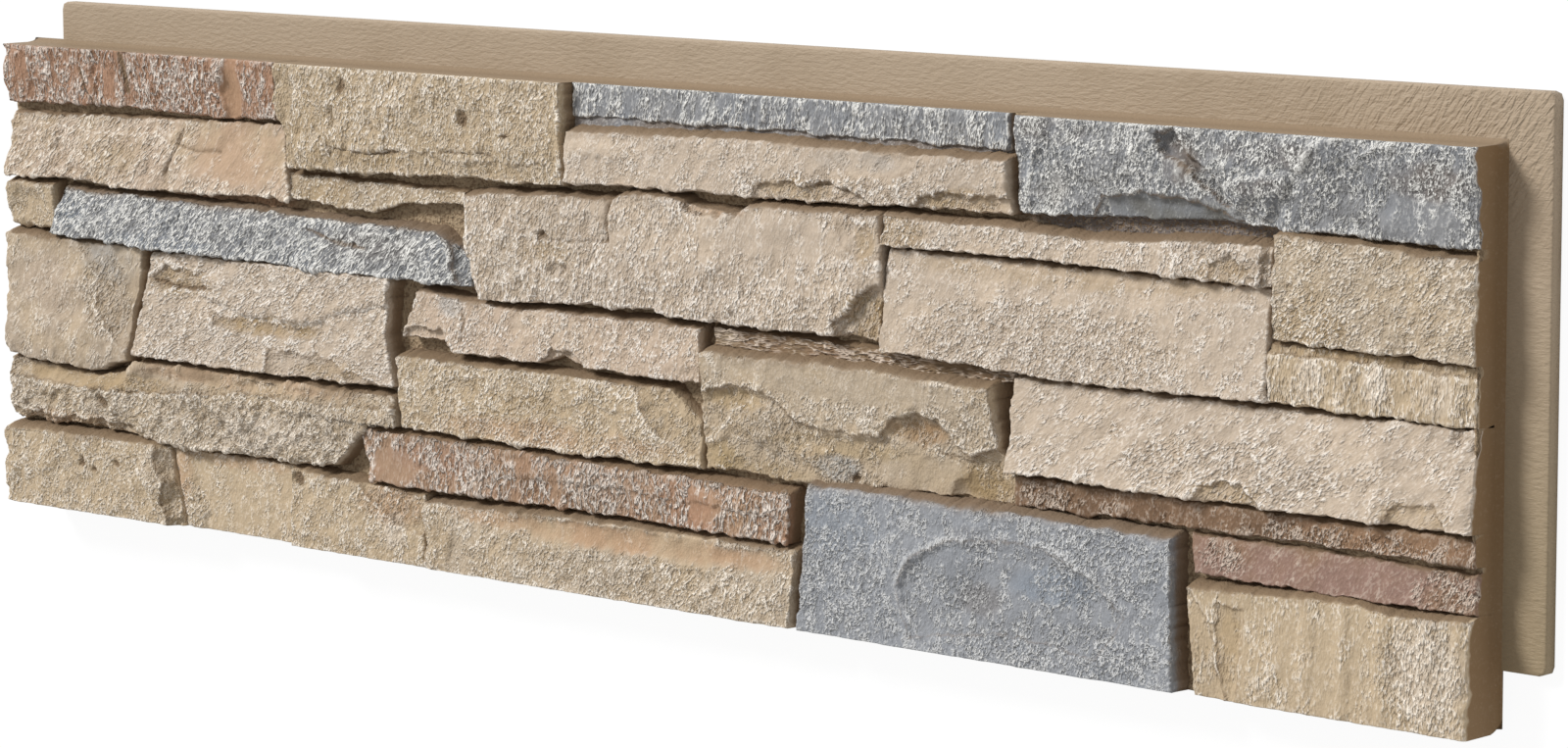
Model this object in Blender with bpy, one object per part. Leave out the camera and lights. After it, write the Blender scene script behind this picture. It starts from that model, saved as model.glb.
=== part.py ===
"""Faux stone wall panel: one moulding of rigid foam with a field of stacked stones on its front.

The panel lies on its back, stone face up. X runs along the panel, Y from its bottom edge to its top
edge as hung on a wall, and Z out of the wall. The origin is the middle of the back. A thin back plate
is set up and to the right of the thicker stone field, so that it laps under the next panels there, and
the field hangs over it at the left and at the bottom to cover theirs.
"""

import bmesh
import bpy
from mathutils import Vector, noise

MM = 0.001

# Stone field, from its lower left corner
FIELD_LENGTH = 1108 * MM
FIELD_HEIGHT = 286 * MM

# Back plate and its laps past the field
PLATE_THICKNESS = 8 * MM
LAP_RIGHT = 28 * MM
LAP_TOP = 26 * MM
PLATE_CORNER_RADIUS = 4 * MM

# Field past the plate, with the rounding of the overhangs' back edges
OVERHANG_LEFT = 29 * MM
OVERHANG_BOTTOM = 31 * MM
OVERHANG_ROUND = 6 * MM

# Joint bed and the nominal face of the stones, both above the front of the plate
BED_RISE = 15 * MM
STONE_RISE = 27 * MM

# Finish of every stone's front edge, and the depth and size of its broken facets
ARRIS_WIDTH = 2.5 * MM
ARRIS_DROP = 2.5 * MM
FACET_DEPTH = 1.4 * MM
FACET_PITCH = 15 * MM
FACET_SWELL = 42 * MM

# How far shapes run past the planes that trim them
TRIM = 6 * MM

OBJECT_NAME = "stone_panel"
FOAM_COLOUR = (0.52, 0.43, 0.33, 1.0)


class Stone:
    """One stone of the field, drawn at full size in millimetres from the field's lower left corner.

    low and high are its lower and upper edges, left to right. left and right hold any points of its
    ends between them, bottom to top. rise is the height of its face at its lower left, lower right,
    upper right and upper left corners, as shares of STONE_RISE. rough is the depth of its facets, as
    a share of FACET_DEPTH. dishes are its chips and hollows: centre, half length, half width, depth.
    """

    def __init__(self, low, high, rise, rough=1.0, left=(), right=(), dishes=()):
        self.outline = [*low, *right, *reversed(high), *reversed(left)]
        self.rise, self.rough, self.dishes = rise, rough, dishes


STONES = {
    # Top course
    "brown_rough": Stone(
        [(0, 250), (100, 253), (190, 250), (250, 252)], [(0, 286), (251, 286)], (0.80, 0.78, 0.85, 0.93),
        rough=1.5, dishes=[(229, 270, 26, 30, 0.2)],
    ),
    "yellow_block": Stone(
        [(265, 225), (380, 228), (493, 229)], [(254, 286), (493, 286)], (0.94, 0.96, 1.00, 1.00),
        left=[(262, 236), (252, 264)], dishes=[(330, 236, 30, 5, 0.08)],
    ),
    "slate_strip": Stone(
        [(494, 268), (650, 267), (814, 264)], [(494, 286), (814, 286)], (0.62, 0.64, 0.67, 0.64),
        rough=0.6,
    ),
    "slate_lip": Stone(
        [(494, 259), (814, 259)], [(494, 270), (814, 267)], (0.6, 0.6, 0.54, 0.54), rough=0.5
    ),
    "pink_bar": Stone(
        [(497, 231), (640, 233), (660, 236), (820, 235)],
        [(497, 262), (640, 264), (690, 263), (820, 261)],
        (1.00, 0.93, 1.00, 0.96), rough=1.2, dishes=[(700, 243, 30, 7, 0.14), (792, 243, 30, 6, 0.16)],
    ),
    "slate_rough": Stone(
        [(832, 239), (880, 239), (940, 241), (1108, 238)], [(824, 286), (1108, 286)],
        (0.85, 0.74, 1.00, 1.00),
        rough=2.0, dishes=[(930, 240, 62, 12, 0.3), (930, 272, 14, 14, 0.2)],
    ),
    # Second course
    "peach_long": Stone(
        [(0, 206), (60, 206), (120, 203), (262, 206)], [(0, 246), (255, 248)], (0.95, 0.84, 0.68, 0.68),
        rough=1.3, dishes=[(212, 232, 45, 20, 0.1)],
    ),
    "peach_ledge": Stone(
        [(256, 207), (335, 203), (360, 211), (410, 212)], [(256, 221), (408, 219)],
        (0.80, 0.78, 0.70, 0.68),
        rough=1.2,
    ),
    "corner_block": Stone(
        [(0, 174), (46, 173)], [(0, 201), (46, 201)], (0.74, 0.85, 0.96, 1.00), rough=0.8
    ),
    "slate_proud": Stone(
        [(44, 171), (119, 169), (250, 167), (418, 166)], [(54, 199), (200, 197), (390, 195)],
        (1.04, 1.00, 0.85, 0.84), rough=1.5, right=[(418, 180)], dishes=[(397, 186, 10, 6, 0.15)],
    ),
    "cream_block": Stone(
        [(428, 160), (520, 165), (560, 165), (575, 162), (726, 162)],
        [(414, 217), (440, 221), (528, 223), (545, 227), (580, 227), (596, 221), (626, 221), (636, 227),
         (730, 227)],
        (1.00, 0.96, 1.00, 0.96), rough=1.2, left=[(420, 185)], right=[(731, 192)],
        dishes=[(718, 175, 17, 19, 0.35), (529, 213, 5, 13, 0.15)],
    ),
    "cream_lath": Stone(
        [(733, 213), (860, 213), (986, 209)], [(733, 228), (986, 229)], (1.00, 0.96, 0.93, 0.96),
        rough=0.6,
    ),
    "cream_slab": Stone(
        [(731, 157), (850, 152), (983, 153)], [(735, 211), (983, 208)], (1.00, 0.97, 0.78, 0.81),
        rough=0.7,
    ),
    "yellow_end": Stone(
        [(990, 183), (1108, 181)], [(992, 236), (1040, 234), (1108, 230)], (0.93, 0.85, 0.81, 0.96),
        rough=0.8, dishes=[(1002, 186, 10, 6, 0.15)],
    ),
    "fluted_end": Stone(
        [(987, 153), (1108, 151)], [(985, 179), (1108, 177)], (0.93, 0.74, 0.76, 0.89), rough=0.8
    ),
    # Third course
    "tan_corner": Stone(
        [(0, 96), (60, 93), (114, 99)], [(0, 168), (127, 167)], (0.85, 0.81, 0.85, 0.85),
        right=[(117, 125), (126, 150)],
    ),
    "tan_corner_lip": Stone(
        [(0, 96), (60, 93), (114, 99)], [(0, 130), (117, 124)], (1.04, 0.96, 0.93, 1.04), rough=0.8
    ),
    "cream_upper": Stone(
        [(124, 118), (356, 118)], [(138, 166), (352, 166)], (0.84, 0.84, 0.85, 0.78), rough=1.2,
        dishes=[(165, 148, 34, 9, 0.12)],
    ),
    "cream_lower": Stone(
        [(121, 102), (240, 101), (354, 103)], [(134, 135), (230, 139), (345, 134)],
        (1.00, 0.96, 0.93, 0.96),
        rough=1.2, dishes=[(325, 109, 40, 6, 0.15)],
    ),
    "peach_bar": Stone(
        [(363, 133), (396, 134), (402, 128), (474, 128), (490, 133), (508, 128), (598, 128)],
        [(372, 161), (598, 158)], (0.96, 0.93, 0.89, 0.89), rough=1.2, dishes=[(411, 147, 8, 12, 0.12)],
    ),
    "yellow_bar": Stone(
        [(360, 80), (480, 79), (598, 80)], [(357, 121), (574, 121)], (0.93, 0.93, 0.85, 0.96),
        right=[(597, 105)], dishes=[(560, 112, 26, 14, 0.1)],
    ),
    "brown_layer": Stone(
        [(605, 148), (818, 147)], [(605, 158), (700, 157), (820, 153)], (0.74, 0.74, 0.70, 0.74),
        rough=1.2,
    ),
    "crag": Stone(
        [(600, 81), (660, 80), (720, 84), (806, 86)], [(601, 145), (700, 146), (810, 143)],
        (0.89, 0.70, 1.19, 1.04), rough=2.2, right=[(812, 112)],
        dishes=[(627, 124, 26, 8, 0.3), (766, 114, 30, 9, 0.35)],
    ),
    "crag_slope": Stone(
        [(720, 82), (822, 83)], [(735, 106), (818, 106)], (0.85, 0.85, 0.93, 0.93), rough=0.8
    ),
    "cream_long": Stone(
        [(818, 101), (960, 100), (1108, 100)], [(828, 150), (1108, 149)], (1.00, 0.96, 0.70, 0.80),
        dishes=[(965, 102, 24, 7, 0.15), (1075, 104, 20, 7, 0.12)],
    ),
    # Fourth course
    "tan_rough": Stone(
        [(0, 55), (120, 53), (305, 55)], [(0, 93), (118, 97), (354, 96)], (0.85, 0.93, 1.00, 0.93),
        rough=1.7, right=[(322, 72), (330, 80), (354, 80)],
    ),
    "red_strip": Stone(
        [(332, 46), (480, 47), (662, 46)], [(322, 76), (500, 74), (665, 73)], (0.89, 0.93, 0.93, 0.89),
        rough=1.4, left=[(330, 60)],
    ),
    "brown_lath": Stone(
        [(820, 84), (1108, 84)], [(820, 98), (1108, 97)], (0.70, 0.74, 0.78, 0.74), rough=0.8
    ),
    "brown_band": Stone(
        [(938, 62), (1108, 60)], [(934, 81), (1108, 79)], (0.76, 0.76, 0.63, 0.67), rough=0.8
    ),
    # Bottom course
    "foot_corner": Stone(
        [(0, 0), (160, 0)], [(0, 47), (148, 48)], (1.11, 1.00, 1.00, 1.15), rough=1.3, right=[(154, 24)],
        dishes=[(85, 30, 12, 7, 0.1)],
    ),
    "foot_recess": Stone(
        [(154, 0), (266, 0)], [(146, 47), (266, 47)], (0.67, 0.70, 0.67, 0.63), rough=0.8
    ),
    "foot_stained": Stone(
        [(263, 0), (377, 0)], [(265, 46), (377, 41)], (0.96, 0.93, 0.93, 0.96), rough=1.3,
        dishes=[(350, 22, 9, 16, 0.12)],
    ),
    "foot_long": Stone(
        [(379, 0), (664, 0)], [(379, 38), (480, 41), (669, 42)], (1.00, 1.00, 0.90, 0.96),
        dishes=[(590, 36, 85, 13, 0.12)],
    ),
    "slate_block": Stone(
        [(672, 0), (928, 0)], [(680, 80), (927, 78)], (1.00, 1.00, 1.00, 0.98),
        dishes=[(826, 38, 82, 34, 0.1)],
    ),
    "foot_fluted": Stone(
        [(940, 0), (1108, 0)], [(936, 55), (1040, 58), (1062, 55), (1108, 57)], (0.97, 1.00, 0.93, 0.99),
        rough=1.2, dishes=[(964, 24, 10, 30, 0.22), (1030, 30, 26, 40, 0.08)],
    ),
}


def drawn_size():
    """Length and height of the field as the stones are drawn."""
    return tuple(max(point[i] for stone in STONES.values() for point in stone.outline) for i in range(2))


def fresh_collection(name):
    """An empty collection of this name in the scene."""
    collection = bpy.data.collections.new(name)
    bpy.context.scene.collection.children.link(collection)
    return collection


def as_object(name, bm, collection):
    """The bmesh as an object in the collection, with its faces turned outwards."""
    bmesh.ops.recalc_face_normals(bm, faces=bm.faces)
    mesh = bpy.data.meshes.new(name)
    bm.to_mesh(mesh)
    bm.free()
    made = bpy.data.objects.new(name, mesh)
    collection.objects.link(made)
    return made


def field_point(x, y):
    """A drawn point in the panel's frame, stretched to the field's length and height."""
    end, top = drawn_size()
    left = -(FIELD_LENGTH + LAP_RIGHT) / 2
    bottom = -(FIELD_HEIGHT + LAP_TOP) / 2
    return left + x / end * FIELD_LENGTH, bottom + y / top * FIELD_HEIGHT


def past_the_field(x, y):
    """The same point, moved out past the trimming planes where it lies on the field's border."""
    end, top = drawn_size()
    px, py = field_point(x, y)
    return px + TRIM * ((x >= end) - (x <= 0)), py + TRIM * ((y >= top) - (y <= 0))


def box(name, low, high, collection):
    """A box between two corners, as a bmesh cube whose corners are moved there."""
    bm = bmesh.new()
    bmesh.ops.create_cube(bm, size=1.0)
    for v in bm.verts:
        v.co = Vector(high[i] if v.co[i] > 0 else low[i] for i in range(3))
    return as_object(name, bm, collection)


def round_edges(made, radius, chosen, segments=3):
    """Bevels those edges of an object whose middle point chosen() accepts."""
    bm = bmesh.new()
    bm.from_mesh(made.data)
    edges = [e for e in bm.edges if chosen((e.verts[0].co + e.verts[1].co) / 2)]
    bmesh.ops.bevel(bm, geom=edges, offset=radius, segments=segments, profile=0.5, affect="EDGES")
    bm.to_mesh(made.data)
    bm.free()


def face_height(stone, corners, x, y):
    """Height of a stone's face: its corner heights blended, less its hollows, broken into facets."""
    (x0, y0), (x1, y1) = corners
    u, v = (x - x0) / (x1 - x0), (y - y0) / (y1 - y0)
    ll, lr, ur, ul = stone.rise
    share = (1 - v) * ((1 - u) * ll + u * lr) + v * ((1 - u) * ul + u * ur)
    for cx, cy, half_length, half_width, depth in stone.dishes:
        left, low = field_point(cx - half_length, cy - half_width)
        right, high = field_point(cx + half_length, cy + half_width)
        across, up = (2 * x - left - right) / (right - left), (2 * y - low - high) / (high - low)
        share -= depth * max(0.0, 1 - across**2 - up**2)
    broken = noise.noise(Vector((x, y, 0.0)) / FACET_SWELL)
    broken += 0.7 * noise.noise(Vector((y, x, 0.0)) / FACET_PITCH)
    return PLATE_THICKNESS + share * STONE_RISE + stone.rough * FACET_DEPTH * broken


def stone_object(name, stone, collection):
    """A stone: its outline raised from within the bed, its front edge chamfered, its face in facets."""
    points = [past_the_field(x, y) for x, y in stone.outline]
    xs, ys = zip(*points)
    corners = (min(xs), min(ys)), (max(xs), max(ys))
    root = PLATE_THICKNESS + BED_RISE / 3
    blank = PLATE_THICKNESS + STONE_RISE
    above_root = (root + blank) / 2
    bm = bmesh.new()
    foot = bm.faces.new([bm.verts.new((x, y, root)) for x, y in points])
    raised = bmesh.ops.extrude_face_region(bm, geom=[foot])["geom"]
    for v in (g for g in raised if isinstance(g, bmesh.types.BMVert)):
        v.co.z = blank
    front = [g for g in raised if isinstance(g, bmesh.types.BMFace)]
    bmesh.ops.inset_region(bm, faces=front, thickness=ARRIS_WIDTH, use_even_offset=True)
    for axis in range(2):
        low, high = corners[0][axis], corners[1][axis]
        steps = round((high - low) / FACET_PITCH)
        for k in range(1, steps):
            place, normal = [0.0, 0.0, 0.0], [0.0, 0.0, 0.0]
            place[axis] = low + (high - low) * k / steps
            normal[axis] = 1.0
            fronts = [f for f in bm.faces if min(v.co.z for v in f.verts) > above_root]
            geom = {g for f in fronts for g in (f, *f.edges, *f.verts)}
            bmesh.ops.bisect_plane(bm, geom=list(geom), dist=0.5 * MM, plane_co=place, plane_no=normal)
    rim = {v for f in bm.faces if min(w.co.z for w in f.verts) < above_root for v in f.verts}
    fronts = [f for f in bm.faces if min(v.co.z for v in f.verts) > above_root]
    for v in {v for f in fronts for v in f.verts}:
        v.co.z = face_height(stone, corners, v.co.x, v.co.y) - (ARRIS_DROP if v in rim else 0.0)
    bmesh.ops.triangulate(bm, faces=fronts)
    return as_object(name, bm, collection)


def add_boolean(target, operation, operand):
    """An exact Boolean modifier on the target, with one object or with every object of a collection."""
    modifier = target.modifiers.new(operation.title(), "BOOLEAN")
    modifier.operation = operation
    modifier.solver = "EXACT"
    if isinstance(operand, bpy.types.Collection):
        modifier.operand_type = "COLLECTION"
        modifier.collection = operand
    else:
        modifier.object = operand


def foam():
    """Painted rigid foam, a matt tan."""
    material = bpy.data.materials.new("painted_foam")
    material.use_nodes = True
    shader = material.node_tree.nodes["Principled BSDF"]
    shader.inputs["Base Color"].default_value = FOAM_COLOUR
    shader.inputs["Roughness"].default_value = 0.75
    shader.inputs["Metallic"].default_value = 0.0
    return material


def build():
    """The whole panel: the joint bed with the stones, trimmed to the field's box, on the back plate."""
    panel_parts = fresh_collection("faux_stone_wall_panel")
    shapes = fresh_collection("construction_shapes")
    stones = fresh_collection("stone_shapes")

    left, bottom = field_point(0, 0)
    right, top = left + FIELD_LENGTH, bottom + FIELD_HEIGHT
    back, front = PLATE_THICKNESS - TRIM, PLATE_THICKNESS + BED_RISE
    blank = (left - TRIM, bottom - TRIM, back), (right + TRIM, top + TRIM, front)
    panel = box(OBJECT_NAME, *blank, panel_parts)
    for name, stone in STONES.items():
        stone_object(name, stone, stones)

    clear = PLATE_THICKNESS + 2 * STONE_RISE
    envelope = box("field_envelope", (left, bottom, PLATE_THICKNESS), (right, top, clear), shapes)
    round_edges(
        envelope,
        OVERHANG_ROUND,
        lambda mid: mid.z < clear / 2 and (mid.x < left + TRIM or mid.y < bottom + TRIM),
    )
    plate = box(
        "back_plate",
        (left + OVERHANG_LEFT, bottom + OVERHANG_BOTTOM, 0.0),
        (right + LAP_RIGHT, top + LAP_TOP, PLATE_THICKNESS),
        shapes,
    )
    round_edges(plate, PLATE_CORNER_RADIUS, lambda mid: 0 < mid.z < PLATE_THICKNESS, segments=4)

    add_boolean(panel, "UNION", stones)
    add_boolean(panel, "INTERSECT", envelope)
    add_boolean(panel, "UNION", plate)
    panel.data.materials.append(foam())
    for made in (*shapes.objects, *stones.objects):
        made.hide_render = True
        made.display_type = "WIRE"


for old in list(bpy.data.objects):
    bpy.data.objects.remove(old, do_unlink=True)
build()
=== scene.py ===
"""Faux stone wall panel as it is sold: one moulding of rigid foam, painted by hand.

The panel lies on its back, stone face up. X runs along it, Y from its bottom edge to its top edge as
hung on a wall, and Z out of the wall. All that is drawn here is in millimetres from the lower left
corner of the stone field, with heights above the flat back, and new_piece() turns it into metres.
"""

import bpy
import numpy as np
from mathutils import Matrix, Vector


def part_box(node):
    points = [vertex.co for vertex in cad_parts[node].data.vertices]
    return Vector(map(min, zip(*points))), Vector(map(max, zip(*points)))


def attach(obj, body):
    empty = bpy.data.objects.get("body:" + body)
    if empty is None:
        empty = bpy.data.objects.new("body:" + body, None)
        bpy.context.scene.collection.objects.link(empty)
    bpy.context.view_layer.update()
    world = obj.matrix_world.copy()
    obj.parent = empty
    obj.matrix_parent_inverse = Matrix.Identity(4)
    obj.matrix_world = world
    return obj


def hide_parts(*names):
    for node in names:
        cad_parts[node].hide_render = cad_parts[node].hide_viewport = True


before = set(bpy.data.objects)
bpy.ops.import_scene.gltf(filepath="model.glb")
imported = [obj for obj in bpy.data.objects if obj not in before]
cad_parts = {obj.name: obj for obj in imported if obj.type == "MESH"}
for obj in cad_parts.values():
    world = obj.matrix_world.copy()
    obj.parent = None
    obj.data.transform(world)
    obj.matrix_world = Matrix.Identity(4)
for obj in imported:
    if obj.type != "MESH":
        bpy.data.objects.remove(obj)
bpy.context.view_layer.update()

# Back plate
# The flat back of the moulding, 8 mm of foam in the tan of its own skin, set up and to the right of
# the stones so that it laps under the next panels. The mould gave it a faint leather grain.
MM = 0.001
PLATE_THICKNESS = 8.0
PLATE_LEFT, PLATE_BOTTOM, PLATE_RIGHT, PLATE_TOP = 29.0, 31.0, 1136.0, 312.0
PLATE_CORNER, PLATE_EDGE, BACK_BEVEL = 4.0, 1.2, 0.6
PLATE_PITCH = 3.5
SKIN_TAN, SKIN_LOW = (164, 146, 124), (148, 131, 104)
SKIN_CLOUD, SKIN_STREAK = (138, 119, 95), (190, 172, 148)
CLOUD_SIZE, STREAK_SIZE = 60, 1.6
WRINKLE_SIZE, PEBBLED_SIZE = 2.4, 2.0
WRINKLE_LAY, PEBBLED_LAY = (52, 3.4), (0, 3.0)
WRINKLES_START, WRINKLES_FULL = (330, 60), (560, 150)
WRINKLE_SHARE, LEATHER_DEPTH = 2.6, 0.9
SLOPES = np.random.default_rng(11).normal(size=(256, 3))
SLOPES /= np.linalg.norm(SLOPES, axis=1, keepdims=True)


def cell_number(cell, seed):
    """A number from 0 to 255 for each whole-numbered cell: its coordinates times large primes, mixed."""
    mixed = cell @ np.array([374761393, 668265263, 1442695041])[: cell.shape[1]] + seed * 974634777
    mixed ^= mixed >> 13
    mixed *= 1274126177
    return (mixed ^ (mixed >> 16)) & 255


def swell(points, size, seed=0):
    """Smooth noise from about -1 to 1, with lumps of this size (one number, or one for each axis).

    Each corner of the cube round a point has a random slope, which gives a height at the point. The
    eight heights are blended by the ease 6t^5 - 15t^4 + 10t^3 along each axis, and made 1.7 times as
    high.
    """
    place = points / size
    cell = np.floor(place).astype(np.int64)
    within = place - cell
    ease = within**3 * (within * (6 * within - 15) + 10)
    total = np.zeros(len(points))
    for corner in np.ndindex(2, 2, 2):
        slope = SLOPES[cell_number(cell + corner, seed)]
        share = np.prod(np.where(corner, ease, 1 - ease), axis=1)
        total += share * np.sum(slope * (within - corner), axis=1)
    return 1.7 * total


def along(path, shares):
    """The points at these shares of the length of a path of straight runs."""
    path = np.array(path, float)
    runs = np.hypot(*np.diff(path, axis=0).T)
    marks = np.concatenate([[0], np.cumsum(runs)]) / runs.sum()
    return np.stack([np.interp(shares, marks, path[:, i]) for i in range(2)], axis=1)


def patch(low, high, left, right, across, up):
    """A grid of points that fills four edges: rows from low to high, columns from left to right.
    Each is the blend of low and high, plus that of left and right, less that of the corners."""
    low, high, left, right = along(low, across), along(high, across), along(left, up), along(right, up)
    s, t = across[None, :, None], up[:, None, None]
    edges = (1 - t) * low + t * high + (1 - s) * left[:, None] + s * right[:, None]
    corners = (1 - t) * ((1 - s) * low[0] + s * low[-1]) + t * ((1 - s) * high[0] + s * high[-1])
    return edges - corners


def rim_of(rows, columns):
    """Numbers of the grid's border points, counterclockwise from the lower left corner."""
    number = np.arange(rows * columns).reshape(rows, columns)
    return np.concatenate([number[0, :-1], number[:-1, -1], number[-1, :0:-1], number[:0:-1, 0]])


def shell_faces(rows, columns, rings):
    """Faces of a closed shell: the grid's quads, a strip of quads down to each ring that follows the
    border, and one flat polygon on the last."""
    number = np.arange(rows * columns).reshape(rows, columns)
    corners = number[:-1, :-1], number[:-1, 1:], number[1:, 1:], number[1:, :-1]
    quads = [np.stack(corners, axis=-1).reshape(-1, 4)]
    upper = rim = rim_of(rows, columns)
    for k in range(rings):
        below = rows * columns + k * len(rim) + np.arange(len(rim))
        quads.append(np.stack([upper, below, np.roll(below, -1), np.roll(upper, -1)], axis=1))
        upper = below
    return np.concatenate(quads), upper[::-1]


def at_height(flat, height):
    """Flat points, lifted to one height or to a height for each."""
    return np.column_stack([flat, np.full(len(flat), height)])


def unit(vectors):
    """The vectors, each made one long."""
    return vectors / np.maximum(np.linalg.norm(vectors, axis=1, keepdims=True), 1e-9)


def facing(points, quads):
    """The unit normal at each point: the sum of the cross products of its quads' diagonals."""
    a, b, c, d = (points[quads[:, i]] for i in range(4))
    cross = np.cross(c - a, d - b)
    sums = [np.bincount(quads.ravel(), np.repeat(cross[:, i], 4), len(points)) for i in range(3)]
    return unit(np.stack(sums, axis=1))


def put(name, data):
    """A new object in the scene."""
    made = bpy.data.objects.new(name, data)
    bpy.context.scene.collection.objects.link(made)
    return made


def new_piece(name, points, quads, floor, paint, marks={}):
    """A closed piece of the panel from points in millimetres, with numbers at its points for paint."""
    corner = np.array(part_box("stone_panel")[0])
    mesh = bpy.data.meshes.new(name)
    mesh.vertices.add(len(points))
    mesh.vertices.foreach_set("co", (corner + points * MM).ravel())
    loops = np.concatenate([quads.ravel(), floor])
    mesh.loops.add(len(loops))
    mesh.loops.foreach_set("vertex_index", loops)
    mesh.polygons.add(len(quads) + 1)
    mesh.polygons.foreach_set("loop_start", 4 * np.arange(len(quads) + 1))
    mesh.polygons.foreach_set("use_smooth", np.arange(len(quads) + 1) < len(quads))
    kinds = {1: ("FLOAT", "value"), 3: ("FLOAT_VECTOR", "vector"), 4: ("FLOAT_COLOR", "color")}
    for mark, values in marks.items():
        kind, field = kinds[values.size // len(points)]
        mesh.attributes.new(mark, kind, "POINT").data.foreach_set(field, values.ravel())
    mesh.update(calc_edges=True)
    mesh.materials.append(paint)
    piece = put(name, mesh)
    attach(piece, "root")
    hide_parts("stone_panel")


def tone(red, green, blue):
    """A colour as a screen shows it, from 0 to 255, as the linear colour that shaders take."""
    shown = np.array([red, green, blue]) / 255
    return np.append(np.where(shown > 0.04045, ((shown + 0.055) / 1.055) ** 2.4, shown / 12.92), 1.0)


def node(tree, kind, sockets={}, **settings):
    """A shader node with its settings, and its sockets set to a value or linked to another's output."""
    made = tree.nodes.new("ShaderNode" + kind)
    for key, value in settings.items():
        setattr(made, key, value)
    for key, value in sockets.items():
        if isinstance(value, bpy.types.NodeSocket):
            tree.links.new(value, made.inputs[key])
        else:
            made.inputs[key].default_value = value
    return made


def math(tree, operation, *values):
    """The result of a math node."""
    return node(tree, "Math", dict(enumerate(values)), operation=operation).outputs[0]


def grain(tree, place, size, detail, rough=0.6, warp=0.0):
    """Noise with lumps of this size in millimetres, from 0 to 1."""
    sockets = {"Vector": place, "Scale": 1 / size, "Detail": detail, "Roughness": rough}
    return node(tree, "TexNoise", {**sockets, "Distortion": warp}).outputs["Fac"]


def between(tree, value, low, high, end=1.0):
    """The value's place between low and high, eased from 0 to end."""
    sockets = {"Value": value, 1: low, 2: high, 3: 0.0, 4: end}
    return node(tree, "MapRange", sockets, interpolation_type="SMOOTHSTEP").outputs["Result"]


def blend(tree, share, under, over):
    """One colour over another, by a share from 0 to 1."""
    return node(tree, "Mix", {0: share, 6: under, 7: over}, data_type="RGBA").outputs[2]


def new_paint(name, roughness, specular):
    """A material with its node tree and the piece's own coordinates in millimetres."""
    material = bpy.data.materials.new(name)
    material.use_nodes = True
    tree = material.node_tree
    shader = tree.nodes["Principled BSDF"]
    shader.inputs["Roughness"].default_value = roughness
    shader.inputs["Specular IOR Level"].default_value = specular
    place = node(tree, "VectorMath", {0: node(tree, "TexCoord").outputs["Object"]}, operation="SCALE")
    place.inputs["Scale"].default_value = 1 / MM
    return material, tree, place.outputs[0]


def read(tree, mark, output="Fac"):
    """What a mark of the mesh says at each point."""
    return node(tree, "Attribute", attribute_name=mark).outputs[output]


def coat(material, colour, height, depth, strength):
    """The material with this colour, and this height as a relief of this depth in millimetres."""
    tree = material.node_tree
    shader = tree.nodes["Principled BSDF"]
    bump = node(tree, "Bump", {"Strength": strength, "Distance": depth * MM, "Height": height})
    tree.links.new(colour, shader.inputs["Base Color"])
    tree.links.new(bump.outputs["Normal"], shader.inputs["Normal"])
    return material


def skin_colour(tree, place, tan):
    """The moulding's own skin: a tan that soft clouds darken a little, with fine pale streaks."""
    cloud = between(tree, grain(tree, place, CLOUD_SIZE, 4), 0.40, 0.80, 0.35)
    tan = blend(tree, cloud, tan, tone(*SKIN_CLOUD))
    streak = between(tree, grain(tree, place, STREAK_SIZE, 2), 0.50, 0.85, 0.18)
    return blend(tree, streak, tan, tone(*SKIN_STREAK))


def leather_skin():
    """The plate's finish: its skin's tan, with wrinkles that deepen towards the upper right corner."""
    material, tree, place = new_paint("leather_skin", 0.6, 0.3)

    def laid(angle, stretch):
        """The coordinates in axes that lie at this angle, drawn out along the first one."""
        lay = {"Vector": place, "Rotation": (0, 0, np.radians(angle)), "Scale": (stretch, 1, 1)}
        return node(tree, "Mapping", lay, vector_type="TEXTURE").outputs["Vector"]

    wrinkle = grain(tree, laid(*WRINKLE_LAY), WRINKLE_SIZE, 1, 0.5, 0.6)
    pebble = grain(tree, laid(*PEBBLED_LAY), PEBBLED_SIZE, 2, 0.6)
    spot = node(tree, "SeparateXYZ", {"Vector": place}).outputs
    to_right, to_top = (between(tree, spot[axis], start, full) for axis, start, full in
                        zip("XY", WRINKLES_START, WRINKLES_FULL))
    creased = math(tree, "MULTIPLY", wrinkle, math(tree, "MULTIPLY", to_right, to_top))
    relief = math(tree, "MULTIPLY_ADD", creased, WRINKLE_SHARE, pebble)
    low = between(tree, spot["Y"], 130, -130)
    colour = skin_colour(tree, place, blend(tree, low, tone(*SKIN_TAN), tone(*SKIN_LOW)))
    return coat(material, colour, relief, LEATHER_DEPTH, 0.8)


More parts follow.
